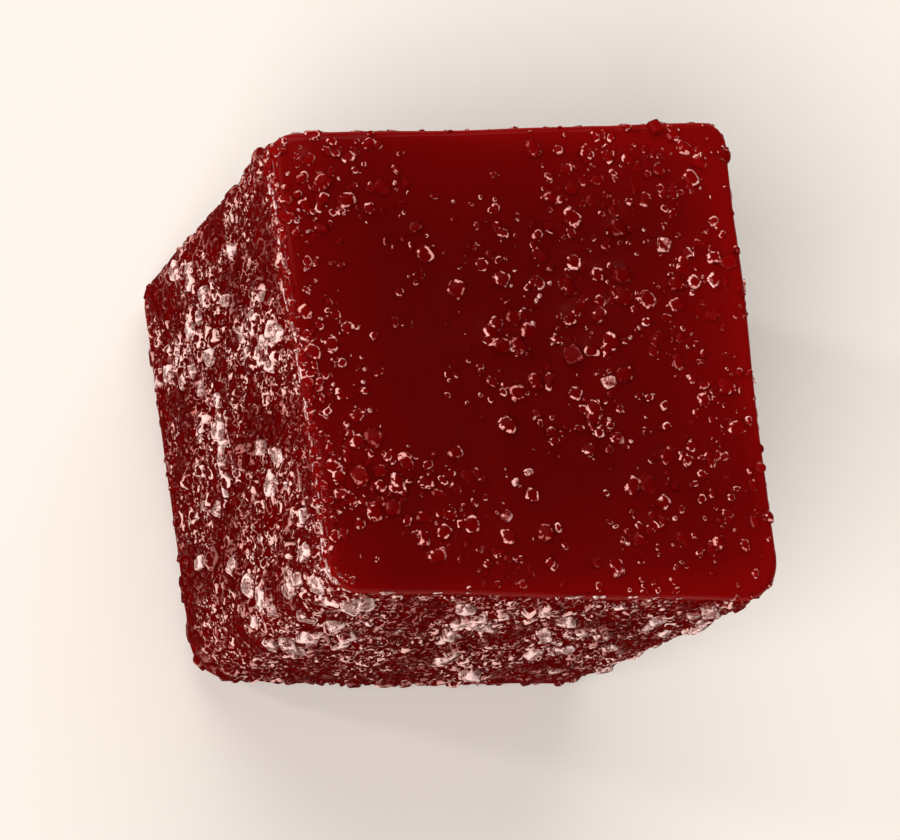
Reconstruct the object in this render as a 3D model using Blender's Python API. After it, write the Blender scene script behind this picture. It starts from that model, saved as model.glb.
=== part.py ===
"""Sugar-coated gummy candy: one moulded jelly cube with sugar crystals fused to its faces.

The cube lies on one flat face, with the face that was open in the mould upwards: slightly hollow,
inside a crisp rim. Each crystal is a small skewed prism, sunk part of the way into the jelly.
Units are metres and +Z is up. The origin is at the centre of the underside.
"""

import math
import random
from functools import partial

import bmesh
import bpy
from mathutils import Matrix, Vector, noise

MM = 0.001
NODE = "gummy_cube"

# The jelly block, without its sugar
BLOCK_SIZE = Vector((19.4, 19.0, 18.4)) * MM
HALF = BLOCK_SIZE / 2
DEEPER_RIGHT = 0.056  # how much deeper along Y the block is at its +X side, and shallower at -X
WIDER_BACK = 0.032  # how much wider along X it is at its +Y side, and narrower at -Y
HOLLOW = 0.22 * MM  # how far the middle of the top sinks below its rim
SIDE_SWELL = 0.16 * MM  # how far the middle of each side stands out
UNEVEN = 0.16 * MM  # height of the soft waves that the mould left
WAVE_LENGTH = 5.5 * MM
UNDERSIDE_FADE = 2.5 * MM  # the waves die out over this height, so that the underside stays flat

# Rounding of the upright edges at the top, by the side of X and of Y that they stand on
CORNER_RADII = {
    (-1, 1): 1.15 * MM,
    (1, 1): 1.05 * MM,
    (1, -1): 1.75 * MM,
    (-1, -1): 1.15 * MM,
}
FOOT_RADIUS_RATIO = 1.6  # the upright edges are rounder at the foot
RIM_RADIUS = 0.35 * MM  # rounding between the top and the sides
FOOT_RADIUS = 1.6 * MM  # rounding between the underside and the sides

# The mesh of the block: strips across each flat and across each rounded edge
FLAT_STRIPS = 8
EDGE_CUTS = (1.4 * MM, 0.8 * MM, 0.35 * MM)  # how far in from the edge

# Sugar
SEED = 41
SIDE_CRYSTALS = 76  # on each of the four upright faces
TOP_CRYSTALS = 122
CRYSTAL_LENGTH = (0.52 * MM, 0.92 * MM)
CRYSTAL_WIDTH_RATIO = (0.68, 0.95)
CRYSTAL_THICK_RATIO = (0.62, 0.85)
CRYSTAL_SKEW = 0.22  # sideways lean of a crystal's top, as a share of its thickness
CRYSTAL_TILT = math.radians(18)
SUNK = (0.58, 0.82)  # share of a crystal's thickness that lies in the jelly
TOP_SPACING = 0.6 * MM  # least distance between two crystals, which cluster on the top
SIDE_SPACING = 0.85 * MM
SUGARED_REACH = 0.95  # how far out a crystal sits, as a share of the half size
HIGHEST_CRYSTAL = 0.93  # the same, measured upwards on the sides, and downwards for the lowest
LOWEST_CRYSTAL = -0.9
CLUSTER_SHARE = 0.72  # share of the top's crystals that lie in clusters
CLUSTER_SPREAD = 0.075
CLUSTERS = (
    (0.38, 0.86), (0.60, 0.89), (0.77, 0.84), (0.23, 0.70), (0.60, 0.58), (0.75, 0.56),
    (0.76, 0.37), (0.17, 0.36), (-0.69, 0.66), (-0.84, 0.82), (-0.47, 0.63), (-0.10, 0.10),
    (0.24, -0.25), (-0.20, -0.15), (-0.83, -0.40), (-0.76, -0.56), (-0.52, -0.77), (-0.38, -0.71),
    (0.44, -0.81), (0.82, -0.20), (0.74, -0.49), (-0.43, -0.57), (-0.85, 0.00), (0.59, 0.02),
)
BARE_PATCHES = (  # centre and radius on the top face, in half sizes
    (-0.22, 0.92, 0.30),
    (-0.72, 0.38, 0.20),
    (-0.46, -0.14, 0.26),
    (-0.78, -0.90, 0.20),
    (0.12, -0.55, 0.18),
)

# Finish, in linear colour
JELLY_RED = (0.13, 0.004, 0.005)
JELLY_ROUGHNESS = 0.3
SUGAR_PINK = (0.62, 0.36, 0.36)
SUGAR_ROUGHNESS = 0.2
SHARP_ANGLE = math.radians(35)


def between(low, high, share):
    """The value that lies the given share of the way from low to high."""
    return low + (high - low) * share


def corner_radius(place):
    """Rounding of the block's plan at a place on it, which is given in half sizes from its centre."""
    right, back, up = ((share + 1) / 2 for share in place)
    left_side = between(CORNER_RADII[-1, -1], CORNER_RADII[-1, 1], back)
    right_side = between(CORNER_RADII[1, -1], CORNER_RADII[1, 1], back)
    return between(left_side, right_side, right) * between(FOOT_RADIUS_RATIO, 1, up)


def rounded(inset, rim, share):
    """How far in from a sharp edge a point lies once the edge is rounded.

    The inset is where it lay before, and the share is that of the outward direction across the edge.
    """
    return rim * (1 - share) if inset < rim else inset


def jelly_surface(place):
    """The point of the jelly's surface, and its outward direction, for a place on the plain block.

    The place is in half sizes, and at least one of its three values is 1 or -1.
    """
    x, y, z = place
    radius = corner_radius(place)
    plan = Vector((x * HALF.x, y * HALF.y))
    corner = Vector(max(radius - half, min(half - radius, share)) for share, half in zip(plan, HALF))
    outer = plan - corner
    reach = max(map(abs, outer))
    outer.normalize()

    rim = RIM_RADIUS if z > 0 else FOOT_RADIUS
    inset = radius - reach
    depth = HALF.z * (1 - abs(z))
    lean = Vector((max(0, 1 - inset / rim), max(0, 1 - depth / rim))).normalized()
    point = (corner + outer * (radius - rounded(inset, rim, lean.x))).to_3d()
    point.z = math.copysign(HALF.z - rounded(depth, rim, lean.y), z)
    outward = (outer * lean.x).to_3d()
    outward.z = math.copysign(lean.y, z)

    middle = (1 - x * x) * (1 - y * y)
    hollow = HOLLOW * middle * max(0, outward.z)
    swell = SIDE_SWELL * (1 - z * z) * (abs(outward.x) * (1 - y * y) + abs(outward.y) * (1 - x * x))
    wave = UNEVEN * noise.noise(point / WAVE_LENGTH)
    fade = min(1, (point.z + HALF.z) / UNDERSIDE_FADE)
    point += outward * ((swell + wave) * fade - hollow)

    point.x *= 1 + WIDER_BACK * y
    point.y *= 1 + DEEPER_RIGHT * x
    point.z += HALF.z
    return point, outward


def block_mesh():
    """The jelly as a box that is cut into strips and then drawn onto its rounded, uneven form."""
    bm = bmesh.new()
    bmesh.ops.create_cube(bm, size=2)
    for axis, half in enumerate(HALF):
        edges = [1 - cut / half for cut in EDGE_CUTS]
        flat = edges[0]
        cuts = [between(-flat, flat, i / FLAT_STRIPS) for i in range(1, FLAT_STRIPS)]
        cuts += edges + [-edge for edge in edges]
        normal = Vector(int(axis == i) for i in range(3))
        for cut in cuts:
            everything = bm.verts[:] + bm.edges[:] + bm.faces[:]
            bmesh.ops.bisect_plane(bm, geom=everything, plane_co=normal * cut, plane_no=normal)
    for vertex in bm.verts:
        vertex.co, _ = jelly_surface(vertex.co)
    return bm


def top_place(draw):
    """A place for a crystal on the top face: in a cluster, or anywhere that isn't bare."""
    if draw.random() < CLUSTER_SHARE:
        x, y = draw.choice(CLUSTERS)
        return Vector((draw.gauss(x, CLUSTER_SPREAD), draw.gauss(y, CLUSTER_SPREAD), 1))
    while True:
        x, y = (draw.uniform(-SUGARED_REACH, SUGARED_REACH) for _ in range(2))
        if all(math.hypot(x - px, y - py) > radius for px, py, radius in BARE_PATCHES):
            return Vector((x, y, 1))


def side_place(draw, axis, side):
    """A place for a crystal anywhere on the upright face at the given side of X or Y."""
    place = Vector((0, 0, draw.uniform(LOWEST_CRYSTAL, HIGHEST_CRYSTAL)))
    place[axis] = side
    place[1 - axis] = draw.uniform(-SUGARED_REACH, SUGARED_REACH)
    return place


def spread(draw, count, spacing, draw_place, taken):
    """Adds that many places to those taken, each on the face and that far from the others."""
    wanted = len(taken) + count
    while len(taken) < wanted:
        place = draw_place(draw)
        if max(map(abs, place)) > 1:
            continue
        point, outward = jelly_surface(place)
        if all((point - other).length > spacing for other, _ in taken):
            taken.append((point, outward))


def crystal_sites(draw):
    """Where the crystals sit: a point on the jelly and the outward direction there."""
    sites = []
    spread(draw, TOP_CRYSTALS, TOP_SPACING, top_place, sites)
    for axis in (0, 1):
        for side in (-1, 1):
            on_side = partial(side_place, axis=axis, side=side)
            spread(draw, SIDE_CRYSTALS, SIDE_SPACING, on_side, sites)
    return sites


def crystal_mesh(draw, point, outward):
    """A skewed prism that is turned at random and sunk into the jelly at the given point."""
    length = draw.uniform(*CRYSTAL_LENGTH)
    width = length * draw.uniform(*CRYSTAL_WIDTH_RATIO)
    thick = length * draw.uniform(*CRYSTAL_THICK_RATIO)
    lean = draw.uniform(-CRYSTAL_SKEW, CRYSTAL_SKEW)
    turn = draw.uniform(0, math.tau)
    tilt_axis = Matrix.Rotation(draw.uniform(0, math.tau), 3, "Z") @ Vector((1, 0, 0))
    tilt = draw.uniform(-CRYSTAL_TILT, CRYSTAL_TILT)
    depth = thick * (draw.uniform(*SUNK) - 0.5)

    bm = bmesh.new()
    bmesh.ops.create_cube(bm, size=1)
    for vertex in bm.verts:
        x, y, z = vertex.co
        vertex.co = Vector((x * length + lean * z * thick, y * width, z * thick))
    upright = outward.to_track_quat("Z", "Y").to_matrix()
    place = upright @ Matrix.Rotation(tilt, 3, tilt_axis) @ Matrix.Rotation(turn, 3, "Z")
    bmesh.ops.transform(bm, matrix=place.to_4x4(), verts=bm.verts)
    bmesh.ops.translate(bm, vec=point - outward * depth, verts=bm.verts)
    return bm


def new_object(name, bm, collection, material):
    """An object of that material in the given collection, which holds the finished bmesh."""
    mesh = bpy.data.meshes.new(name)
    bm.to_mesh(mesh)
    bm.free()
    mesh.materials.append(material)
    obj = bpy.data.objects.new(name, mesh)
    collection.objects.link(obj)
    return obj


def new_collection(name):
    """A collection of that name in the scene."""
    collection = bpy.data.collections.new(name)
    bpy.context.scene.collection.children.link(collection)
    return collection


def principled(name, colour, roughness):
    """A plain material of that linear colour and roughness."""
    material = bpy.data.materials.new(name)
    material.use_nodes = True
    shader = material.node_tree.nodes["Principled BSDF"]
    shader.inputs["Base Color"].default_value = (*colour, 1)
    shader.inputs["Roughness"].default_value = roughness
    shader.inputs["Metallic"].default_value = 0
    return material


def fuse(block, crystals):
    """Joins the crystals to the block as one solid, and then removes them."""
    union = block.modifiers.new("sugar", "BOOLEAN")
    union.operation = "UNION"
    union.operand_type = "COLLECTION"
    union.collection = crystals
    union.material_mode = "TRANSFER"
    bpy.context.view_layer.objects.active = block
    bpy.ops.object.modifier_apply(modifier=union.name)
    for crystal in list(crystals.objects):
        bpy.data.objects.remove(crystal)
    bpy.data.collections.remove(crystals)
    block.data.shade_smooth()
    block.data.set_sharp_from_angle(angle=SHARP_ANGLE)


def main():
    """Builds the one sugared cube."""
    for obj in list(bpy.data.objects):
        bpy.data.objects.remove(obj)
    draw = random.Random(SEED)
    jelly = principled("red_jelly", JELLY_RED, JELLY_ROUGHNESS)
    sugar = principled("clear_sugar", SUGAR_PINK, SUGAR_ROUGHNESS)
    candy = new_collection("gummy_candy")
    crystals = new_collection("crystals")
    block = new_object(NODE, block_mesh(), candy, jelly)
    for number, (point, outward) in enumerate(crystal_sites(draw)):
        new_object(f"crystal_{number}", crystal_mesh(draw, point, outward), crystals, sugar)
    fuse(block, crystals)


main()
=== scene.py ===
"""Looks of the sugar-coated gummy candy: the red jelly, its sugar, the studio and the camera.

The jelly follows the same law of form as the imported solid, in a finer mesh, and the coarse crystals
stand where the solid has them. Finer sugar, which the solid leaves out, is added between them.
Everything is in metres, with +Z up and the origin at the centre of the candy's underside.
"""

import logging
import math
import random
from dataclasses import dataclass, field, replace
from enum import Enum
from functools import partial
from typing import Any, Callable, Mapping, Optional, Sequence, Union

import bpy
import numpy as np
from mathutils import Matrix, Vector, kdtree, noise


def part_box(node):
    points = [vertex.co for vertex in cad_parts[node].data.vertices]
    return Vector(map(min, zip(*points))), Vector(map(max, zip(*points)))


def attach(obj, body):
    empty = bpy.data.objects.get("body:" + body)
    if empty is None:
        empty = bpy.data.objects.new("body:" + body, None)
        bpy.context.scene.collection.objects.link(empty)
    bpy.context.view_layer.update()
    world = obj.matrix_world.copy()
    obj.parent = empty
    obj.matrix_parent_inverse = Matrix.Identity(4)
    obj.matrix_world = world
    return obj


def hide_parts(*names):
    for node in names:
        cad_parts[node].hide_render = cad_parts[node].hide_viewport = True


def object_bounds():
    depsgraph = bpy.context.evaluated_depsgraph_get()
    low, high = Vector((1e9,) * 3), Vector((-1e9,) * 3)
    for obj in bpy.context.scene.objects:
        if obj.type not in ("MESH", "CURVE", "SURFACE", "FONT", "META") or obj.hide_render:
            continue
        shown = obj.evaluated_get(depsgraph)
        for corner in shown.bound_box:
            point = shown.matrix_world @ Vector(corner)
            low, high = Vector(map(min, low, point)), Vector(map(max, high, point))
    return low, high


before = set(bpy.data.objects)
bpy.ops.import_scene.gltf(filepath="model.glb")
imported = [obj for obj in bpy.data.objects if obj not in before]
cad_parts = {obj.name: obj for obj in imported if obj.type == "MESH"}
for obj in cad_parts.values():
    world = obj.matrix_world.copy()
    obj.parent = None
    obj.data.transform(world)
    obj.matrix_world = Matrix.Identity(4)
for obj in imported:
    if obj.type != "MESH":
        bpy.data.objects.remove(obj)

MM = 0.001
NODE = "gummy_cube"
BODY = "root"

CAD_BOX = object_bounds()
LOG = logging.getLogger("gummy")

Colour = tuple[float, float, float]
Place = Sequence[float]
Step = tuple[float, ...]  # Where a ramp starts and ends, and its low and high if not 0 and 1.
Key = Union[str, int]
Values = Mapping[Key, Any]
Draw = random.Random
Placer = Callable[[Draw], Vector]


# ---------------- small helpers


def between(low: float, high: float, share: float) -> float:
    """The value that lies the given share of the way from low to high."""
    return low + (high - low) * share


def deselect_all() -> None:
    """Leaves nothing selected, so that an operator acts on its own piece alone."""
    bpy.ops.object.select_all(action="DESELECT")


def take_up(obj: bpy.types.Object) -> None:
    """Makes one object the only selected and the active one.

    Args:
        obj: The object to work on.
    """
    deselect_all()
    obj.select_set(True)
    bpy.context.view_layer.objects.active = obj


# ---------------- shader maths


@dataclass(frozen=True)
class Shade:
    """One value or colour in a material: a node's output, with the maths that the finishes use."""

    book: "Recipe"
    socket: bpy.types.NodeSocket

    def _maths(self, operation: str, first: "Term", second: "Term") -> "Shade":
        """A Math node on two terms, of which either may be this value."""
        return self.book.shade("ShaderNodeMath", {"operation": operation}, {0: first, 1: second})

    def __add__(self, other: "Term") -> "Shade":
        """The sum of this and another term."""
        return self._maths("ADD", self, other)

    __radd__ = __add__

    def __sub__(self, other: "Term") -> "Shade":
        """This less another term."""
        return self._maths("SUBTRACT", self, other)

    def __rsub__(self, other: "Term") -> "Shade":
        """Another term less this."""
        return self._maths("SUBTRACT", other, self)

    def __mul__(self, other: "Term") -> "Shade":
        """The product of this and another term."""
        return self._maths("MULTIPLY", self, other)

    __rmul__ = __mul__

    def __truediv__(self, other: "Term") -> "Shade":
        """This over another term."""
        return self._maths("DIVIDE", self, other)

    def __pow__(self, other: "Term") -> "Shade":
        """This to the power of another term."""
        return self._maths("POWER", self, other)

    def __abs__(self) -> "Shade":
        """This without its sign."""
        return self._maths("ABSOLUTE", self, 0.0)

    def larger(self, other: "Term") -> "Shade":
        """The larger of this and another term."""
        return self._maths("MAXIMUM", self, other)

    def smaller(self, other: "Term") -> "Shade":
        """The smaller of this and another term."""
        return self._maths("MINIMUM", self, other)

    def ramp(self, start: float, end: float, low: float = 0.0, high: float = 1.0) -> "Shade":
        """A smooth step of this value.

        Args:
            start: Where the step begins.
            end: Where it is complete.
            low: The result up to start.
            high: The result from end on.

        Returns:
            The stepped value.
        """
        settings = {"interpolation_type": "SMOOTHSTEP"}
        values = {"Value": self, "From Min": start, "From Max": end, "To Min": low, "To Max": high}
        return self.book.shade("ShaderNodeMapRange", settings, values)


Term = Union[Shade, float]


def ranked(first: Shade, second: Shade, third: Shade) -> tuple[Shade, Shade]:
    """The middle and the least of three values."""
    least = first.smaller(second).smaller(third)
    return first + second + third - first.larger(second).larger(third) - least, least


class Recipe:
    """A material's node tree, and the one way to add nodes to it."""

    def __init__(self, name: str) -> None:
        """Makes the material.

        Args:
            name: The material's name.
        """
        self.material = bpy.data.materials.new(name)
        self.material.use_nodes = True
        self.tree = self.material.node_tree
        self.tree.nodes.remove(self.tree.nodes["Principled BSDF"])

    def fill(self, node: bpy.types.Node, values: Values) -> None:
        """Sets or links a node's inputs.

        Args:
            node: The node.
            values: For each input, a plain value, or a Shade or socket that is linked to it.
        """
        for key, value in values.items():
            if isinstance(value, Shade):
                value = value.socket
            if isinstance(value, bpy.types.NodeSocket):
                self.tree.links.new(value, node.inputs[key])
            else:
                node.inputs[key].default_value = value

    def node(
        self, kind: str, settings: Optional[Values] = None, values: Optional[Values] = None
    ) -> bpy.types.Node:
        """Adds a node of any type.

        Args:
            kind: The node's type, such as ShaderNodeTexNoise.
            settings: Its properties, which are set first.
            values: Its inputs, as in fill.

        Returns:
            The new node.
        """
        node = self.tree.nodes.new(kind)
        for name, value in (settings or {}).items():
            setattr(node, name, value)
        self.fill(node, values or {})
        return node

    def shade(
        self, kind: str, settings: Optional[Values] = None, values: Optional[Values] = None, output: Key = 0
    ) -> Shade:
        """Adds a node, as node does, and returns its output of the given name or number."""
        return Shade(self, self.node(kind, settings, values).outputs[output])

    def where(self) -> Shade:
        """The place on the piece, in object coordinates."""
        return self.shade("ShaderNodeTexCoord", output="Object")

    def axes(self, place: Shade) -> tuple[Shade, Shade, Shade]:
        """The three coordinates of a place."""
        split = self.node("ShaderNodeSeparateXYZ", values={0: place})
        return tuple(Shade(self, split.outputs[i]) for i in range(3))

    def stretched(self, place: Shade, scale: Place) -> Shade:
        """A place whose axes are scaled, so that a pattern on it runs longer one way."""
        return self.shade("ShaderNodeMapping", values={"Vector": place, "Scale": scale})

    def noise(self, place: Shade, pitch: float, detail: float = 3.0, blend: float = 0.55) -> Shade:
        """Soft noise round 0.5, of a rough repeat in metres, with finer layers blended in."""
        values = {"Vector": place, "Scale": 1 / pitch, "Detail": detail, "Roughness": blend}
        return self.shade("ShaderNodeTexNoise", values=values)

    def attribute(self, name: str, output: str = "Fac") -> Shade:
        """What the mesh holds under that name: a number, or with the output Vector three of them."""
        return self.shade("ShaderNodeAttribute", {"attribute_name": name}, output=output)

    def blend(self, mask: Term, first: Any, second: Any) -> Shade:
        """A colour that goes from the first to the second as the mask goes from 0 to 1.

        Args:
            mask: The share of the second colour.
            first: A colour, as three numbers or a Shade.
            second: Likewise.

        Returns:
            The mixed colour.
        """
        mix = self.node("ShaderNodeMix", {"data_type": "RGBA", "clamp_factor": True}, {0: mask})
        for number, colour in ((6, first), (7, second)):  # The node's inputs for two colours.
            self.fill(mix, {number: colour if isinstance(colour, Shade) else (*colour, 1.0)})
        return Shade(self, mix.outputs[2])  # Its output for a colour.

    def vectors(self, operation: str, values: Values) -> Shade:
        """A Vector Math node on the given inputs."""
        return self.shade("ShaderNodeVectorMath", {"operation": operation}, values)

    def leaning_normal(self, way: Shade, share: Term) -> Shade:
        """The surface's own normal, leant towards a given way.

        Args:
            way: The direction to lean to.
            share: How strongly that counts against the surface's own normal.

        Returns:
            The leant normal.
        """
        own = self.shade("ShaderNodeNewGeometry", output="Normal")
        lean = self.vectors("SCALE", {"Vector": way, "Scale": share})
        return self.vectors("NORMALIZE", {0: self.vectors("ADD", {0: own, 1: lean})})

    def bump(self, height: Shade, depth: float) -> Shade:
        """A normal that follows a height from 0 to 1 of the given depth in metres."""
        values = {"Height": height, "Distance": depth, "Strength": 1.0}
        return self.shade("ShaderNodeBump", values=values, output="Normal")

    def principled(self, **values: Any) -> bpy.types.Node:
        """Adds a Principled BSDF, whose inputs are named with an underscore for each space."""
        inputs = {name.replace("_", " "): value for name, value in values.items()}
        return self.node("ShaderNodeBsdfPrincipled", values=inputs)

    def finish(self, shader: bpy.types.Node) -> bpy.types.Material:
        """Puts a shader on the surface and returns the material."""
        self.tree.links.new(shader.outputs[0], self.tree.nodes["Material Output"].inputs["Surface"])
        return self.material

    def mix(self, share: Term, first: bpy.types.Node, second: bpy.types.Node) -> bpy.types.Node:
        """Mixes two shaders by the share of the second."""
        values = {0: share, 1: first.outputs[0], 2: second.outputs[0]}
        return self.node("ShaderNodeMixShader", values=values)


# ---------------- the jelly's form


@dataclass(frozen=True)
class JellyForm:
    """The law of form of the jelly block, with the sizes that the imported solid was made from."""

    size: Vector = field(default_factory=lambda: Vector((19.4, 19.0, 18.4)) * MM)
    deeper_right: float = 0.056
    wider_back: float = 0.032
    hollow: float = 0.22 * MM
    side_swell: float = 0.16 * MM
    uneven: float = 0.16 * MM
    wave_length: float = 5.5 * MM
    underside_fade: float = 2.5 * MM
    radius_left_front: float = 1.15 * MM
    radius_left_back: float = 1.15 * MM
    radius_right_front: float = 1.75 * MM
    radius_right_back: float = 1.05 * MM
    foot_radius_ratio: float = 1.6
    rim_radius: float = 0.35 * MM
    foot_radius: float = 1.6 * MM
    # How far below the top the finish of the sides starts to give way to the top's, and has done so.
    rim_band: tuple[float, float] = (0.7 * MM, 0.3 * MM)

    @property
    def half(self) -> Vector:
        """Half the block's sizes."""
        return self.size / 2

    def on_top(self, height: Shade) -> Shade:
        """The share, from 0 on the sides to 1 on the top face, at a height on the jelly."""
        return height.ramp(*(self.size.z - below for below in self.rim_band))

    def corner_radius(self, place: Place) -> float:
        """Finds the rounding of the block's plan, which differs by corner and grows towards the foot.

        Args:
            place: A place on the plain block, in half sizes.

        Returns:
            The radius there.
        """
        right, back, up = ((share + 1) / 2 for share in place)
        left_side = between(self.radius_left_front, self.radius_left_back, back)
        right_side = between(self.radius_right_front, self.radius_right_back, back)
        return between(left_side, right_side, right) * between(self.foot_radius_ratio, 1, up)

    @staticmethod
    def rounded(inset: float, rim: float, facing: float) -> float:
        """How far in a point lies once its edge is rounded, by how squarely it faces that way."""
        return rim * (1 - facing) if inset < rim else inset

    def surface(self, place: Place) -> tuple[Vector, Vector]:
        """Finds the jelly's surface.

        Args:
            place: A place on the plain block, in half sizes, with one of its values at 1 or -1.

        Returns:
            The point of the surface and the outward direction there.
        """
        half = self.half
        x, y, z = place
        radius = self.corner_radius(place)
        plan = Vector((x * half.x, y * half.y))
        corner = Vector(max(radius - h, min(h - radius, share)) for share, h in zip(plan, half))
        outer = plan - corner
        reach = max(map(abs, outer))
        outer.normalize()

        rim = self.rim_radius if z > 0 else self.foot_radius
        inset = radius - reach
        depth = half.z * (1 - abs(z))
        lean = Vector((max(0, 1 - inset / rim), max(0, 1 - depth / rim))).normalized()
        point = (corner + outer * (radius - self.rounded(inset, rim, lean.x))).to_3d()
        point.z = math.copysign(half.z - self.rounded(depth, rim, lean.y), z)
        outward = (outer * lean.x).to_3d()
        outward.z = math.copysign(lean.y, z)

        middle = (1 - x * x) * (1 - y * y)
        hollow = self.hollow * middle * max(0, outward.z)
        across = abs(outward.x) * (1 - y * y) + abs(outward.y) * (1 - x * x)
        swell = self.side_swell * (1 - z * z) * across
        wave = self.uneven * noise.noise(point / self.wave_length)
        fade = min(1, (point.z + half.z) / self.underside_fade)
        point += outward * ((swell + wave) * fade - hollow)

        point.x *= 1 + self.wider_back * y
        point.y *= 1 + self.deeper_right * x
        point.z += half.z
        return point, outward


@dataclass(frozen=True)
class Site:
    """Where a crystal sits: a point on the jelly and the outward direction there."""

    point: Vector
    outward: Vector


# ---------------- finishes


@dataclass(frozen=True)
class Patches:
    """Soft patches in a finish: noise with a rough repeat in metres, put through a ramp."""

    pitch: float
    levels: Step
    detail: float = 2.0

    def at(self, place: Shade) -> Shade:
        """How strong they are at a place."""
        return place.book.noise(place, self.pitch, self.detail).ramp(*self.levels)


@dataclass(frozen=True)
class JellyColour:
    """The red of the jelly: darkest in the middle of a face, with a painted glow towards its edges and
    corners, where light shines through, and painted shade on the sides.
    """

    deep: Colour = (0.100, 0.0008, 0.0006)
    # Clear is the lighter red of the painted glow near the edges and corners.
    clear: Colour = (0.200, 0.0014, 0.0012)
    # Shaded is painted shade, on the sides and on the flanks of crystals by their bright rings.
    shaded: Colour = (0.03, 0.0003, 0.0003)
    near_edge: Step = (0.45, 0.95)
    at_edge: Step = (0.86, 1.0)
    at_corner: Step = (0.62, 1.0, 0.0, 0.45)
    # Painted light: how strong the glow is along the edges, and how much stronger towards the right and the
    # back.
    edge_light: float = 0.83
    lean_right: float = 0.26
    lean_back: float = 0.20
    blotches: Patches = Patches(7 * MM, (0.42, 0.72, 0.0, 0.15))
    streaks: Patches = Patches(6 * MM, (0.5, 0.8, 0.0, 0.12))
    streak_stretch: Place = (2.6, 0.55, 0.9)
    side_shade: float = 0.38

    def at(self, place: Shade, form: JellyForm) -> Shade:
        """Finds the colour.

        Args:
            place: Where on the jelly.
            form: The jelly's form.

        Returns:
            The colour there.
        """
        book = place.book
        half = form.half
        x, y, z = book.axes(place)
        nearness, least = ranked(abs(x) / half.x, abs(y) / half.y, abs(z - half.z) / half.z)
        edge = (nearness.ramp(*self.near_edge) + nearness.ramp(*self.at_edge)) * 0.5
        light = x / half.x * self.lean_right + y / half.y * self.lean_back + self.edge_light
        streak = self.streaks.at(book.stretched(place, self.streak_stretch))
        # Painted glow near the edges and corners, where light shines through the jelly.
        painted_glow = edge * light + least.ramp(*self.at_corner) + self.blotches.at(place) + streak
        red = book.blend(painted_glow, self.deep, self.clear)
        # Painted shade: the sides are darker than the top.
        return book.blend((1.0 - form.on_top(z)) * self.side_shade, red, self.shaded)


@dataclass(frozen=True)
class Frost:
    """Fine threads of frost, which lie on the sides over the jelly and its clear sugar alike."""

    dim: Colour = (0.42, 0.13, 0.11)
    pale: Colour = (0.70, 0.36, 0.32)
    turns_pale: Step = (0.25, 0.9)
    hides: Step = (0.0, 0.7)
    share: float = 0.7
    pitch: float = 0.36 * MM
    stretch: Place = (1.0, 1.0, 0.6)
    thread_width: Step = (0.01, 0.055)
    breaks: Patches = Patches(0.29 * MM, (0.44, 0.56))
    patches: Patches = Patches(2.6 * MM, (0.38, 0.6, 0.3, 1.0), 3.0)
    above_foot: Step = (1 * MM, 6 * MM, 0.6, 1.0)

    def cover(self, place: Shade, form: JellyForm) -> Shade:
        """Finds how much frost there is.

        Args:
            place: Where on the candy.
            form: The jelly's form.

        Returns:
            The share of frost there, from 0 to 1.
        """
        book = place.book
        height = book.axes(place)[2]
        drawn = book.noise(book.stretched(place, self.stretch), self.pitch, detail=1.0)
        thread = 1.0 - abs(drawn - 0.5).ramp(*self.thread_width)
        on_side = (1.0 - form.on_top(height)) * thread * self.breaks.at(place) * self.patches.at(place)
        return on_side * height.ramp(*self.above_foot) * self.share

    def hue(self, cover: Shade) -> Shade:
        """The colour of frost that covers so much."""
        return cover.book.blend(cover.ramp(*self.turns_pale), self.dim, self.pale)

    def hidden(self, cover: Shade) -> Shade:
        """The share of what is below that frost of such a cover hides."""
        return cover.ramp(*self.hides)


@dataclass(frozen=True)
class JellyFinish:
    """Deep red jelly, glossy on its top, and with fine frost on its sides."""

    colour: JellyColour = JellyColour()
    frost: Frost = Frost()
    roughness: float = 0.30
    skin_pitch: float = 0.5 * MM
    relief: float = 0.03 * MM
    frost_relief: float = 0.4
    gloss: float = 0.12
    gloss_roughness: float = 0.16
    glow: Colour = (1.0, 0.08, 0.06)
    glow_reach: float = 0.8 * MM
    frost_roughness: float = 0.6

    def make(self, form: JellyForm) -> bpy.types.Material:
        """Makes the material.

        Args:
            form: The form of the block that wears it.

        Returns:
            The material.
        """
        book = Recipe("red_jelly")
        place = book.where()
        cover = self.frost.cover(place, form)
        skin = book.noise(place, self.skin_pitch) * (1 - self.frost_relief)
        relief = book.bump(skin + cover * self.frost_relief, self.relief)
        gel = book.principled(
            Base_Color=self.colour.at(place, form),
            Roughness=self.roughness,
            Normal=relief,
            Specular_IOR_Level=0.0,
            Coat_Weight=form.on_top(book.axes(place)[2]) * self.gloss,
            Coat_Roughness=self.gloss_roughness,
            Subsurface_Weight=1.0,
            Subsurface_Radius=self.glow,
            Subsurface_Scale=self.glow_reach,
        )
        frosted = book.principled(
            Base_Color=self.frost.hue(cover),
            Roughness=self.frost_roughness,
            Normal=relief,
            Specular_IOR_Level=0.1,
        )
        return book.finish(book.mix(self.frost.hidden(cover), gel, frosted))


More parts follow.
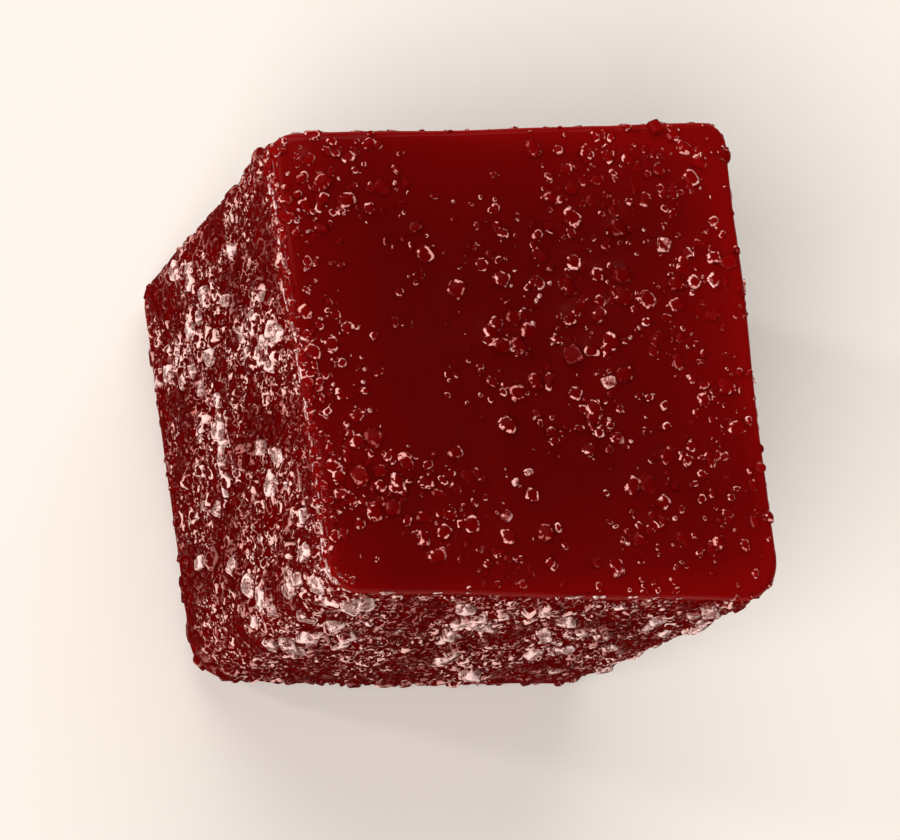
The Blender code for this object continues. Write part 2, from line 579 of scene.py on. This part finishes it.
@dataclass(frozen=True)
class SugarFinish:
    """A sugar crystal: clear in its middle, where the jelly shows, with a bright, broken ring of painted
    highlight round it.
    """

    colour: JellyColour = JellyColour()
    frost: Frost = Frost()
    # Tinged, pink and white colour the ring's painted highlight from dim to bright; white and milk also
    # colour the milky crystals.
    tinged: Colour = (0.46, 0.12, 0.10)
    pink: Colour = (0.86, 0.48, 0.42)
    white: Colour = (0.93, 0.62, 0.58)
    milk: Colour = (0.52, 0.33, 0.29)
    # On the top the marks are blended partly towards this red: painted shade, as the top gets more light
    # than the sides.
    glow: Colour = (0.80, 0.03, 0.02)
    top_shade_tint: float = 0.28
    faces_up: Step = (0.4, 0.8)
    squareness: float = 2.5
    wobble_pitch: float = 0.26 * MM
    wobble_share: float = 0.7
    speckle_pitch: float = 0.12 * MM
    speckle_depth: float = 0.015 * MM
    speckle_roughness: Step = (0.3, 0.7, 0.15, 0.4)
    # The rings' painted highlight is brighter in patches, and on the top towards its left edge.
    patches: Patches = Patches(3.2 * MM, (0.40, 0.58, 0.3, 1.0))
    left_patch: Step = (-8.5 * MM, -6.0 * MM, 1.0, 0.6)
    ring_inside: Step = (0.57, 0.69)
    ring_outside: Step = (0.86, 0.97, 1.0, 0.0)
    ring_shows: Step = (0.12, 0.55)
    gaps: Patches = Patches(0.38 * MM, (0.42, 0.52, 0.05, 1.0), 1.0)
    fine_gaps: Patches = Patches(0.17 * MM, (0.38, 0.54, 0.05, 1.0), 1.0)
    if_cloudy: Step = (0.0, 0.6, 0.3, 1.0)
    toward_back: Step = (4 * MM, 9 * MM, 1.0, 0.6)
    above_foot: Step = (1 * MM, 7 * MM, 0.6, 1.0)
    turns_pink: Step = (0.1, 0.7)
    turns_white: Step = (0.4, 0.8)
    milk_wobble: float = 0.3
    milk_patch: float = 0.35
    milk_top: float = 0.13
    milk_foot: Step = (1 * MM, 6 * MM, 0.3, 0.0)
    milk_starts: Step = (1.02, 1.08)
    milk_speckle: Step = (0.40, 0.56, 0.2, 1.0)
    milk_hides: Step = (0.35, 0.72, 0.6, 0.95)
    milk_whitens: Step = (0.42, 0.74)
    # Painted shade on the flanks of crystals on the top, by their bright rings.
    dark_edge: Step = (0.88, 1.04)
    dark_if_bright: Step = (0.1, 0.5)
    dark_share: float = 0.4
    lean: float = 0.5
    lean_on_top: float = 1.6

    def outline(self, book: Recipe, on_top: Shade) -> Shade:
        """Finds how far out on its own crystal a point lies.

        Args:
            book: The material that needs it.
            on_top: From 0 on the sides, where a facet counts, to 1 on the top, where the crystal does.

        Returns:
            From 0 in the middle to 1 at the edge.
        """
        power = self.squareness
        x, y, z = (abs(share) * 2 for share in book.axes(book.attribute("grain", "Vector")))
        middle, least = ranked(x, y, z)
        of_crystal = (x ** power + y ** power) ** (1 / power)
        of_facet = (middle ** power + least ** power) ** (1 / power)
        return of_facet + (of_crystal - of_facet) * on_top

    def brightness(self, place: Shade, on_top: Shade, cloud: Shade, patch: Shade) -> Shade:
        """Finds how bright the painted highlight on a crystal's ring is, which has gaps, and fades to the
        back and the foot.

        Args:
            place: Where on the candy.
            on_top: From 0 on the sides to 1 on the top.
            cloud: How cloudy the crystal is.
            patch: How bright the sugar is thereabouts.

        Returns:
            The brightness, from 0 to 1.
        """
        _, along, height = place.book.axes(place)
        gap = self.gaps.at(place) * self.fine_gaps.at(place).larger(1.0 - on_top)
        fade = along.ramp(*self.toward_back) * height.ramp(*self.above_foot)
        return gap * cloud.ramp(*self.if_cloudy) * patch * fade.larger(on_top)

    def hue(self, bright: Shade, cloud: Shade, milky: Shade, reach: Shade) -> Shade:
        """Finds the colour of what isn't clear on a crystal: the ring's painted highlight, tinged, pink or
        white by its brightness, or the milky sugar's own white.

        Args:
            bright: How bright its ring is.
            cloud: How cloudy it is.
            milky: The share of it that is milky.
            reach: How far out on it the point lies.

        Returns:
            The colour there.
        """
        book = bright.book
        ring = book.blend(bright.ramp(*self.turns_pink), self.tinged, self.pink)
        ring = book.blend((bright * cloud).ramp(*self.turns_white), ring, self.white)
        return book.blend(milky, ring, book.blend(reach.ramp(*self.milk_whitens), self.milk, self.white))

    def make(self, form: JellyForm) -> bpy.types.Material:
        """Makes the material.

        Args:
            form: The form of the block that the sugar is on.

        Returns:
            The material.
        """
        book = Recipe("sugar")
        place = book.where()
        across, _, height = book.axes(place)
        outward = book.attribute("outward", "Vector")
        cloud = book.attribute("cloud")
        on_top = book.axes(outward)[2].ramp(*self.faces_up)
        wobble = book.noise(place, self.wobble_pitch, detail=2.0) - 0.5
        speckle = book.noise(place, self.speckle_pitch, detail=2.0)
        patch = self.patches.at(place).larger(across.ramp(*self.left_patch) * on_top)
        reach = self.outline(book, on_top) + wobble * self.wobble_share
        bright = self.brightness(place, on_top, cloud, patch)
        outside = reach.ramp(*self.ring_outside).larger(1.0 - on_top)
        ring = reach.ramp(*self.ring_inside) * outside * bright.ramp(*self.ring_shows)
        haze = cloud + wobble * self.milk_wobble + patch * self.milk_patch - on_top * self.milk_top
        milky = (haze - height.ramp(*self.milk_foot)).ramp(*self.milk_starts)
        milky = milky * speckle.ramp(*self.milk_speckle)
        frost = self.frost.hidden(self.frost.cover(place, form))
        hue = self.hue(bright, cloud, milky, reach)
        # The ring's colour is painted highlight; milky crystals and frost are the sugar's own white.
        frosted = book.principled(
            Base_Color=book.blend(on_top * self.top_shade_tint, hue, self.glow),
            Roughness=speckle.ramp(*self.speckle_roughness),
            Normal=book.bump(speckle, self.speckle_depth),
            Specular_IOR_Level=0.2,
        )
        # Painted shade: a dark flank round the crystals on the top whose rings are bright.
        dark = reach.ramp(*self.dark_edge) * bright.ramp(*self.dark_if_bright) * on_top * self.dark_share
        clear = book.principled(
            Base_Color=book.blend(dark, self.colour.at(place, form), self.colour.shaded),
            Normal=book.leaning_normal(outward, on_top * self.lean_on_top + self.lean),
            Roughness=0.3,
            Specular_IOR_Level=0.0,
            Coat_Weight=0.04,
            Coat_Roughness=0.15,
        )
        # The rings' painted highlight, with milky sugar and frost.
        highlight_and_white_sugar = ring.larger(milky * reach.ramp(*self.milk_hides)).larger(frost)
        return book.finish(book.mix(highlight_and_white_sugar, clear, frosted))


@dataclass(frozen=True)
class FloorFinish:
    """A plain pale table top."""

    pale: Colour = (0.92, 0.845, 0.775)
    warm: Colour = (0.90, 0.82, 0.75)
    pitch: float = 90 * MM

    def make(self) -> bpy.types.Material:
        """Makes the material.

        Returns:
            The material.
        """
        book = Recipe("pale_table")
        share = book.noise(book.where(), self.pitch, detail=2.0)
        colour = book.blend(share, self.pale, self.warm)
        return book.finish(book.principled(Base_Color=colour, Roughness=0.85, Specular_IOR_Level=0.1))


# ---------------- the jelly


@dataclass
class Jelly:
    """The block of jelly, as one fine mesh over the law of form."""

    form: JellyForm
    finish: JellyFinish = JellyFinish()
    flat_strips: int = 8
    edge_cuts: tuple[float, ...] = (1.4 * MM, 0.8 * MM, 0.35 * MM)
    finer: int = 3
    lip: float = 0.05 * MM
    lip_reach: float = 0.5 * MM
    underside_lift: float = 0.12 * MM

    def plain_block(self) -> bpy.types.Object:
        """Models a box of the block's size, cut into strips across each flat and each rounded edge.

        Returns:
            The box.
        """
        size = self.form.size
        deselect_all()
        bpy.ops.mesh.primitive_cube_add(size=1, location=(0, 0, size.z / 2), scale=size)
        block = bpy.context.active_object
        block.name = block.data.name = "jelly_body"
        bpy.ops.object.transform_apply(location=True, rotation=True, scale=True)
        bpy.ops.object.mode_set(mode="EDIT")
        for axis, half in enumerate(self.form.half):
            edges = [1 - cut / half for cut in self.edge_cuts]
            flat = edges[0]
            cuts = [between(-flat, flat, i / self.flat_strips) for i in range(1, self.flat_strips)]
            cuts += edges + [-edge for edge in edges]
            normal = Vector(int(axis == i) for i in range(3))
            for cut in cuts:
                at = normal * cut * half + Vector((0, 0, size.z / 2))
                bpy.ops.mesh.select_all(action="SELECT")
                bpy.ops.mesh.bisect(plane_co=at, plane_no=normal)
        bpy.ops.object.mode_set(mode="OBJECT")
        finer = block.modifiers.new("finer", "SUBSURF")
        finer.subdivision_type = "SIMPLE"
        finer.levels = finer.render_levels = self.finer
        bpy.ops.object.modifier_apply(modifier=finer.name)
        return block

    def draw_onto_form(self, block: bpy.types.Object, sites: Sequence[Site]) -> None:
        """Moves each vertex of the plain block onto the jelly's surface.

        Args:
            block: The plain block.
            sites: The coarse crystals, round which the jelly stands up in a small lip.
        """
        half = self.form.half
        places = [site.point for site in sites]
        tree = kdtree.KDTree(len(places))
        for number, point in enumerate(places):
            tree.insert(point, number)
        tree.balance()
        for vertex in block.data.vertices:
            x, y, z = vertex.co
            place = (x / half.x, y / half.y, z / half.z - 1)
            point, outward = self.form.surface(place)
            distance = tree.find(point)[2] / self.lip_reach
            rise = self.lip * math.exp(-distance * distance)
            if outward.z < 0:
                rise -= self.underside_lift * outward.z * outward.z
            vertex.co = point + outward * rise

    def build(self, sites: Sequence[Site]) -> bpy.types.Object:
        """Models and dresses the jelly.

        Args:
            sites: Where the coarse crystals sit.

        Returns:
            The finished piece.
        """
        block = self.plain_block()
        self.draw_onto_form(block, sites)
        take_up(block)
        bpy.ops.object.shade_smooth()
        block.data.materials.append(self.finish.make(self.form))
        return block


# ---------------- the sugar


class Habit(Enum):
    """The shapes of sugar crystals, each with its rounding and unevenness in shares of its size."""

    WORN = (0.22, 0.14)
    MELTED = (0.30, 0.12)
    CHIP = (0.19, 0.22)


class Edges(Enum):
    """How finely a crystal's edges are rounded, by the facets round each."""

    PLAIN = 1
    FINE = 2


@dataclass(frozen=True)
class CrystalShape:
    """One crystal of unit size, as arrays that many copies are made from."""

    points: np.ndarray
    faces: list[tuple[int, ...]]

    @classmethod
    def grow(cls, habit: Habit, seed: int, edges: Edges) -> "CrystalShape":
        """Models a crystal.

        Args:
            habit: The shape it has.
            seed: Seeds its unevenness.
            edges: How finely its edges are rounded.

        Returns:
            The crystal's arrays.
        """
        rounding, unevenness = habit.value
        deselect_all()
        bpy.ops.mesh.primitive_cube_add(size=1)
        crystal = bpy.context.active_object
        bpy.ops.object.mode_set(mode="EDIT")
        bpy.ops.mesh.select_all(action="SELECT")
        bpy.ops.transform.vertex_random(offset=unevenness, uniform=1.0, seed=seed)
        bpy.ops.mesh.bevel(offset=rounding, segments=edges.value, affect="EDGES", clamp_overlap=True)
        bpy.ops.object.mode_set(mode="OBJECT")
        mesh = crystal.data
        points = np.array([v.co for v in mesh.vertices])
        points /= 2 * np.abs(points).max(axis=0)
        faces = [tuple(f.vertices) for f in mesh.polygons]
        bpy.data.objects.remove(crystal)
        return cls(points, faces)


@dataclass(frozen=True)
class Grain:
    """One crystal as it is laid: its shape, its turn and scale, its place, its way out and its cloud."""

    shape: CrystalShape
    matrix: np.ndarray
    centre: np.ndarray
    outward: Vector
    cloud: float


@dataclass(frozen=True)
class GrainSizes:
    """The range of sizes of one kind of sugar, and how it lies in the jelly."""

    length: tuple[float, float]
    width_ratio: tuple[float, float] = (0.68, 0.95)
    thick_ratio: tuple[float, float] = (0.62, 0.85)
    tilt: float = math.radians(18)
    sunk: tuple[float, float] = (0.58, 0.82)
    turn: tuple[float, float] = (0.0, math.tau)
    top_tilt: float = 1.0
    skew: float = 0.22

    def lay(self, draw: Draw, site: Site, shape: CrystalShape, cloud: float) -> Grain:
        """Turns a crystal at random and sinks it into the jelly.

        Args:
            draw: The source of random numbers.
            site: Where it sits.
            shape: Its shape.
            cloud: How cloudy it is, from clear at 0 to milky somewhat above 1.

        Returns:
            The laid crystal.
        """
        length = draw.uniform(*self.length)
        width = length * draw.uniform(*self.width_ratio)
        thick = length * draw.uniform(*self.thick_ratio)
        lean = draw.uniform(-self.skew, self.skew)
        turn = draw.uniform(*self.turn)
        tilt_axis = Matrix.Rotation(draw.uniform(0, math.tau), 3, "Z") @ Vector((1, 0, 0))
        tilt = draw.uniform(-self.tilt, self.tilt) * between(1, self.top_tilt, max(0, site.outward.z))
        depth = thick * (draw.uniform(*self.sunk) - 0.5)
        form = Matrix(((length, 0, lean * thick), (0, width, 0), (0, 0, thick)))
        upright = site.outward.to_track_quat("Z", "Y").to_matrix()
        matrix = upright @ Matrix.Rotation(tilt, 3, tilt_axis) @ Matrix.Rotation(turn, 3, "Z") @ form
        centre = np.array(site.point - site.outward * depth)
        return Grain(shape, np.array(matrix), centre, site.outward, cloud)


class Side(Enum):
    """An upright side of the plain block: the axis that it lies across, and its end of that axis."""

    LEFT = (0, -1)
    RIGHT = (0, 1)
    FRONT = (1, -1)
    BACK = (1, 1)

    def at(self, along: float, height: float) -> Vector:
        """The place on the side that lies so far along it and up it, in half sizes."""
        axis, end = self.value
        return Vector((along, end, height) if axis else (end, along, height))


@dataclass
class SugarLayout:
    """Where sugar lies on the jelly: in clusters on its top, in clumps on its sides, and scattered."""

    form: JellyForm
    reach: float = 0.95
    foot_reach: float = 0.8
    highest: float = 0.93
    lowest: float = -0.9
    cluster_share: float = 0.72
    cluster_spread: float = 0.075
    clusters: tuple[tuple[float, float], ...] = (
        (0.38, 0.86), (0.60, 0.89), (0.77, 0.84), (0.23, 0.70), (0.60, 0.58), (0.75, 0.56),
        (0.76, 0.37), (0.17, 0.36), (-0.69, 0.66), (-0.84, 0.82), (-0.47, 0.63), (-0.10, 0.10),
        (0.24, -0.25), (-0.20, -0.15), (-0.83, -0.40), (-0.76, -0.56), (-0.52, -0.77), (-0.38, -0.71),
        (0.44, -0.81), (0.82, -0.20), (0.74, -0.49), (-0.43, -0.57), (-0.85, 0.00), (0.59, 0.02),
    )
    side_clumps: tuple[tuple[float, float], ...] = (
        (0.60, 0.06), (0.55, -0.08), (0.37, -0.30), (0.32, -0.02), (0.18, -0.20), (0.06, -0.11),
        (-0.08, -0.04), (0.13, 0.49), (0.12, 0.73), (0.14, 0.87), (-0.01, 0.51), (0.27, 0.46),
        (-0.21, 0.37), (-0.30, -0.01), (-0.39, 0.23), (-0.46, 0.54), (-0.60, 0.79), (-0.56, -0.23),
        (-0.67, -0.07), (-0.75, 0.42), (-0.82, 0.40), (-0.84, 0.18), (0.56, 0.37), (0.74, -0.18),
        (0.40, 0.63), (0.68, 0.30), (0.55, 0.84), (-0.38, -0.67), (0.37, -0.58), (-0.06, -0.43),
        (-0.78, 0.62), (-0.88, 0.46), (-0.93, 0.76),
    )
    clump_highest: float = 0.82
    clump_spread: float = 0.045
    clump_rise: float = 0.09
    clump_shift: float = 0.6
    rim_crowding: float = 1.5
    bare_patches: tuple[tuple[float, float, float], ...] = (
        (-0.22, 0.92, 0.30),
        (-0.72, 0.38, 0.20),
        (-0.46, -0.14, 0.26),
        (-0.78, -0.90, 0.20),
        (0.12, -0.55, 0.18),
    )

    def top_place(self, draw: Draw) -> Vector:
        """Draws a place on the top face: in a cluster, or anywhere that isn't bare.

        Args:
            draw: The source of random numbers.

        Returns:
            The place on the plain block, in half sizes.
        """
        if draw.random() < self.cluster_share:
            x, y = draw.choice(self.clusters)
            x = draw.gauss(x, self.cluster_spread)
            return Vector((x, draw.gauss(y, self.cluster_spread), 1))
        while True:
            x, y = (draw.uniform(-self.reach, self.reach) for _ in range(2))
            if all(math.hypot(x - px, y - py) > radius for px, py, radius in self.bare_patches):
                return Vector((x, y, 1))

    def side_place(self, draw: Draw, side: Side) -> Vector:
        """A place anywhere on a side."""
        height = draw.uniform(self.lowest, self.highest)
        return side.at(draw.uniform(-self.reach, self.reach), height)

    def clump_place(self, draw: Draw, side: Side) -> Vector:
        """Draws a place in one of the clumps of a side, each side's being shifted along it.

        Args:
            draw: The source of random numbers.
            side: The side.

        Returns:
            The place on the plain block, in half sizes.
        """
        along, height = draw.choice(self.side_clumps)
        along = (along + 1 + (1 + sum(side.value)) * self.clump_shift) % 2 - 1
        height = max(self.lowest, min(self.clump_highest, draw.gauss(height, self.clump_rise)))
        return side.at(draw.gauss(along, self.clump_spread), height)

    def rim_place(self, draw: Draw, side: Side, strip: tuple[float, float]) -> Vector:
        """A place just below the rim of a side, in a strip of such depths."""
        height = 1 - between(*strip, draw.random() ** self.rim_crowding)
        return side.at(draw.uniform(-1, 1), height)

    def foot_place(self, draw: Draw) -> Vector:
        """A place on the underside, within its rounded edge."""
        x, y = (draw.uniform(-self.foot_reach, self.foot_reach) for _ in range(2))
        return Vector((x, y, -1))

    def spread(self, draw: Draw, count: int, spacing: float, place_one: Placer, taken: list[Site]) -> None:
        """Adds sites to those taken, each clear of the others.

        Args:
            draw: The source of random numbers.
            count: How many to add.
            spacing: The least distance between two of them.
            place_one: Draws a place on the plain block, in half sizes.
            taken: The sites so far, which grow.
        """
        wanted = len(taken) + count
        while len(taken) < wanted:
            place = place_one(draw)
            if max(map(abs, place)) > 1:
                continue
            site = Site(*self.form.surface(place))
            if all((site.point - other.point).length > spacing for other in taken):
                taken.append(site)


@dataclass(frozen=True)
class LooseSugar:
    """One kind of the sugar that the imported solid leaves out, and how many grains of it lie where."""

    name: str
    sizes: GrainSizes
    seed: int
    top: int = 0
    side: int = 0
    rim: int = 0
    left_rim: int = 0
    clumped: int = 0
    foot: int = 0
    strip: tuple[float, float] = (0.0, 0.2)
    cloud: tuple[float, float] = (0.0, 0.8)
    top_cloud: tuple[float, float] = (0.0, 0.86)
    edges: Edges = Edges.PLAIN

    def places(self, layout: SugarLayout) -> list[tuple[Placer, int]]:
        """Where its grains lie.

        Args:
            layout: Draws the places.

        Returns:
            For each region a function that draws a place there, and the number of grains.
        """
        regions = [
            (layout.top_place, self.top),
            (layout.foot_place, self.foot),
            (partial(layout.rim_place, side=Side.LEFT, strip=self.strip), self.left_rim),
        ]
        for side in Side:
            regions += [
                (partial(layout.side_place, side=side), self.side),
                (partial(layout.rim_place, side=side, strip=self.strip), self.rim),
                (partial(layout.clump_place, side=side), self.clumped),
            ]
        return regions


@dataclass
class SugarCoat:
    """All the sugar on the jelly, in one joined mesh for each kind."""

    form: JellyForm
    layout: SugarLayout
    finish: SugarFinish = SugarFinish()
    seed: int = 41
    top_count: int = 122
    side_count: int = 76
    top_spacing: float = 0.6 * MM
    side_spacing: float = 0.85 * MM
    loose_share: float = 0.6
    loose_reach: float = 0.99
    loose_lowest: float = -0.84
    loose_clusters: tuple[tuple[float, float], ...] = (
        (-0.88, 0.55), (-0.86, 0.30), (-0.80, 0.12), (-0.78, -0.12), (-0.85, -0.25), (-0.70, -0.50),
        (0.05, 0.30), (0.12, 0.08), (-0.05, -0.08), (0.08, -0.32), (0.33, -0.28), (-0.30, -0.05),
        (0.62, -0.72), (0.45, 0.55), (-0.08, 0.52), (0.90, 0.50), (0.90, -0.30), (0.90, -0.10),
        (0.30, -0.70), (-0.10, 0.70), (-0.60, 0.88), (0.30, 0.10), (0.70, 0.10), (-0.25, -0.88),
        (-0.96, 0.85), (-0.96, 0.62), (-0.95, 0.15), (-0.96, -0.08), (-0.95, -0.30), (-0.96, -0.55),
        (-0.92, 0.75), (-0.90, 0.45), (-0.92, 0.05), (-0.90, -0.20), (-0.92, -0.42), (-0.90, -0.65),
        (0.30, 0.70), (0.70, 0.70), (-0.50, 0.72), (0.50, 0.50), (0.12, 0.50), (0.72, -0.50),
        (0.50, -0.72), (-0.50, -0.72), (0.10, -0.30), (-0.90, 0.25), (-0.92, -0.30), (-0.90, -0.85),
        (-0.97, 0.92), (-0.97, 0.35), (-0.98, 0.05), (-0.97, -0.18), (-0.97, -0.45), (-0.96, -0.68),
        (-0.95, 0.72), (-0.90, -0.50), (0.14, 0.34), (0.30, -0.34), (0.60, 0.86), (-0.72, -0.56),
    )
    top_cloud: float = 0.86
    looks_per_habit: int = 3
    smooth_below: float = math.radians(50)
    coarse: GrainSizes = GrainSizes((0.52 * MM, 0.92 * MM))
    loose: tuple[LooseSugar, ...] = (
        LooseSugar(
            "clumped_sugar",
            GrainSizes((0.50 * MM, 0.82 * MM), (0.9, 1.5), (0.8, 1.1), 0.5, (0.48, 0.64), turn=(-0.8, 0.8)),
            seed=6, clumped=100, cloud=(0.45, 1.15), edges=Edges.FINE,
        ),
        LooseSugar(
            "medium_sugar",
            GrainSizes((0.40 * MM, 0.74 * MM), (0.6, 1.0), (0.6, 0.9), 0.5, (0.68, 0.85), top_tilt=0.5),
            seed=7, top=125, side=300, foot=140, edges=Edges.FINE,
        ),
        LooseSugar(
            "packed_sugar",
            GrainSizes((0.26 * MM, 0.44 * MM), (0.9, 1.6), (0.6, 0.9), 0.5, (0.62, 0.80), turn=(-0.9, 0.9)),
            seed=10, side=1080, cloud=(0.0, 0.66),
        ),
        LooseSugar(
            "small_sugar",
            GrainSizes((0.22 * MM, 0.46 * MM), (0.45, 1.0), (0.6, 0.9), 0.7, (0.55, 0.78), top_tilt=0.6),
            seed=9, top=520, side=600, rim=10, left_rim=220, foot=200, cloud=(0.0, 0.66),
        ),
        LooseSugar(
            "fine_sugar",
            GrainSizes((0.10 * MM, 0.22 * MM), (0.5, 1.0), (0.6, 1.0), 1.0, (0.4, 0.7), top_tilt=0.5),
            seed=8, top=500, top_cloud=(0.1, 1.04), side=600, rim=20, left_rim=380, foot=200,
        ),
        LooseSugar(
            "rim_sugar",
            GrainSizes(
                (0.25 * MM, 0.75 * MM), (0.14, 0.24), (0.16, 0.26), 0.2, (0.3, 0.5), (0.0, 0.2), skew=0.1
            ),
            seed=5, rim=14, left_rim=64, strip=(0.022, 0.05), cloud=(1.1, 1.5),
        ),
    )

    def __post_init__(self) -> None:
        """Grows the shapes that all the sugar is made from, and finds the coarse crystals' places."""
        habits = self.looks_per_habit * list(Habit)
        self.shapes = {
            edges: [CrystalShape.grow(habit, seed, edges) for seed, habit in enumerate(habits)]
            for edges in Edges
        }
        self.draw = random.Random(self.seed)
        self.sites: list[Site] = []
        layout = self.layout
        layout.spread(self.draw, self.top_count, self.top_spacing, layout.top_place, self.sites)
        for side in Side:
            on_side = partial(layout.side_place, side=side)
            layout.spread(self.draw, self.side_count, self.side_spacing, on_side, self.sites)

    def coarse_grains(self) -> list[Grain]:
        """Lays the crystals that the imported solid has, by the same draws in the same order.

        Returns:
            The laid crystals.
        """
        look = random.Random(self.seed + 1)
        grains = []
        for number, site in enumerate(self.sites):
            cloud = look.random() * (self.top_cloud if number < self.top_count else 1.0)
            shape = look.choice(self.shapes[Edges.FINE])
            grains.append(self.coarse.lay(self.draw, site, shape, cloud))
        return grains

    def scatter(self, kind: LooseSugar) -> list[Grain]:
        """Lays all the grains of one kind.

        Args:
            kind: The kind of sugar.

        Returns:
            The laid crystals.
        """
        draw = random.Random(kind.seed)
        layout = replace(
            self.layout,
            clusters=self.layout.clusters + self.loose_clusters,
            cluster_share=self.loose_share,
            reach=self.loose_reach,
            lowest=self.loose_lowest,
        )
        grains = []
        for make_place, count in kind.places(layout):
            for _ in range(count):
                place = make_place(draw)
                while max(map(abs, place)) > 1:
                    place = make_place(draw)
                site = Site(*self.form.surface(place))
                cloud = draw.uniform(*(kind.top_cloud if place.z == 1 else kind.cloud))
                grains.append(kind.sizes.lay(draw, site, draw.choice(self.shapes[kind.edges]), cloud))
        return grains

    def join(self, name: str, grains: Sequence[Grain], sugar: bpy.types.Material) -> bpy.types.Object:
        """Makes one mesh of many crystals.

        Args:
            name: The piece's name.
            grains: The crystals.
            sugar: Their finish.

        Returns:
            The joined piece.
        """
        points, local, outward, faces, clouds = [], [], [], [], []
        low, high = map(np.array, CAD_BOX)
        start = 0
        for grain in grains:
            shape = grain.shape
            laid = shape.points @ grain.matrix.T + grain.centre
            pushed_in = np.maximum(low - laid.min(axis=0), 0) - np.maximum(laid.max(axis=0) - high, 0)
            points.append(laid + pushed_in)
            local.append(shape.points)
            outward.append(np.tile(grain.outward, (len(shape.points), 1)))
            clouds += [grain.cloud] * len(shape.points)
            faces += [tuple(start + i for i in face) for face in shape.faces]
            start += len(shape.points)
        mesh = bpy.data.meshes.new(name)
        mesh.from_pydata(np.concatenate(points), [], faces)
        mesh.attributes.new("cloud", "FLOAT", "POINT").data.foreach_set("value", clouds)
        for key, vectors in (("grain", local), ("outward", outward)):
            layer = mesh.attributes.new(key, "FLOAT_VECTOR", "POINT")
            layer.data.foreach_set("vector", np.concatenate(vectors).ravel())
        mesh.materials.append(sugar)
        piece = bpy.data.objects.new(name, mesh)
        bpy.context.scene.collection.objects.link(piece)
        take_up(piece)
        bpy.ops.object.shade_smooth_by_angle(angle=self.smooth_below)
        return piece

    def build(self) -> list[bpy.types.Object]:
        """Models and dresses all the sugar.

        Returns:
            One piece for each kind.
        """
        sugar = self.finish.make(self.form)
        coarse = self.join("coarse_sugar", self.coarse_grains(), sugar)
        return [coarse, *(self.join(kind.name, self.scatter(kind), sugar) for kind in self.loose)]


# ---------------- the studio


@dataclass(frozen=True)
class Lamp:
    """One far, soft light: where it shines from, how strongly, and how many degrees wide it looks."""

    name: str
    toward: Place
    strength: float
    spread: float
    distance: float = 0.3

    def build(self) -> None:
        """Adds the light in its direction, turned to the candy."""
        toward = Vector(self.toward)
        deselect_all()
        bpy.ops.object.light_add(type="SUN", location=toward.normalized() * self.distance)
        lamp = bpy.context.active_object
        lamp.name = lamp.data.name = self.name
        lamp.rotation_euler = toward.to_track_quat("Z", "Y").to_euler()
        lamp.data.energy = self.strength
        lamp.data.angle = math.radians(self.spread)


@dataclass(frozen=True)
class Studio:
    """The table, the light and the camera."""

    toward_camera: Place = (-0.390, -0.244, 0.888)
    camera_up: Place = (0.015, 0.9625, 0.271)
    distance: float = 136 * MM
    focal_length: float = 131.5
    floor_side: float = 3.0
    lamps: tuple[Lamp, ...] = (
        Lamp("key", (-0.62, -0.42, 0.72), strength=2.75, spread=40),
        Lamp("fill", (-0.1, 0.9, 0.9), strength=1.5, spread=60),
        Lamp("glint", (-0.886, 0.239, 0.398), strength=0.5, spread=5),
    )
    room_colour: Colour = (1.0, 0.96, 0.93)
    room_strength: float = 0.12

    def build_camera(self, centre: Vector) -> None:
        """Adds the camera at the photograph's angle.

        Args:
            centre: The candy's centre, which it looks at.
        """
        back = Vector(self.toward_camera).normalized()
        right = Vector(self.camera_up).cross(back).normalized()
        up = back.cross(right)
        deselect_all()
        bpy.ops.object.camera_add(location=centre + back * self.distance)
        camera = bpy.context.active_object
        camera.name = "photo_camera"
        turn = Matrix((right, up, back)).transposed()
        camera.rotation_euler = turn.to_euler()
        camera.data.lens = self.focal_length
        camera.data.clip_start = 1 * MM
        bpy.context.scene.camera = camera

    def build_floor(self) -> None:
        """Adds the table top."""
        deselect_all()
        bpy.ops.mesh.primitive_plane_add(size=self.floor_side)
        floor = bpy.context.active_object
        floor.name = "table"
        floor.data.materials.append(FloorFinish().make())

    def build_light(self) -> None:
        """Adds the lamps and the dim room around them."""
        for lamp in self.lamps:
            lamp.build()
        world = bpy.data.worlds.new("room")
        world.use_nodes = True
        background = world.node_tree.nodes["Background"]
        background.inputs["Color"].default_value = (*self.room_colour, 1.0)
        background.inputs["Strength"].default_value = self.room_strength
        bpy.context.scene.world = world

    def build(self, centre: Vector) -> None:
        """Sets up everything around the candy.

        Args:
            centre: The candy's centre, which the camera looks at.
        """
        self.build_floor()
        self.build_light()
        self.build_camera(centre)
        bpy.context.scene.view_settings.view_transform = "Standard"


def main() -> None:
    """Builds the candy's pieces in order and reports each."""
    low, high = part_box(NODE)
    form = JellyForm()
    coat = SugarCoat(form, SugarLayout(form))
    pieces = [Jelly(form).build(coat.sites), *coat.build()]
    for piece in pieces:
        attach(piece, BODY)
        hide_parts(NODE)
        LOG.info("%s: %d faces", piece.name, len(piece.data.polygons))
    Studio().build((low + high) / 2)


if __name__ == "__main__":
    logging.basicConfig(level=logging.INFO, format="%(message)s")
    main()
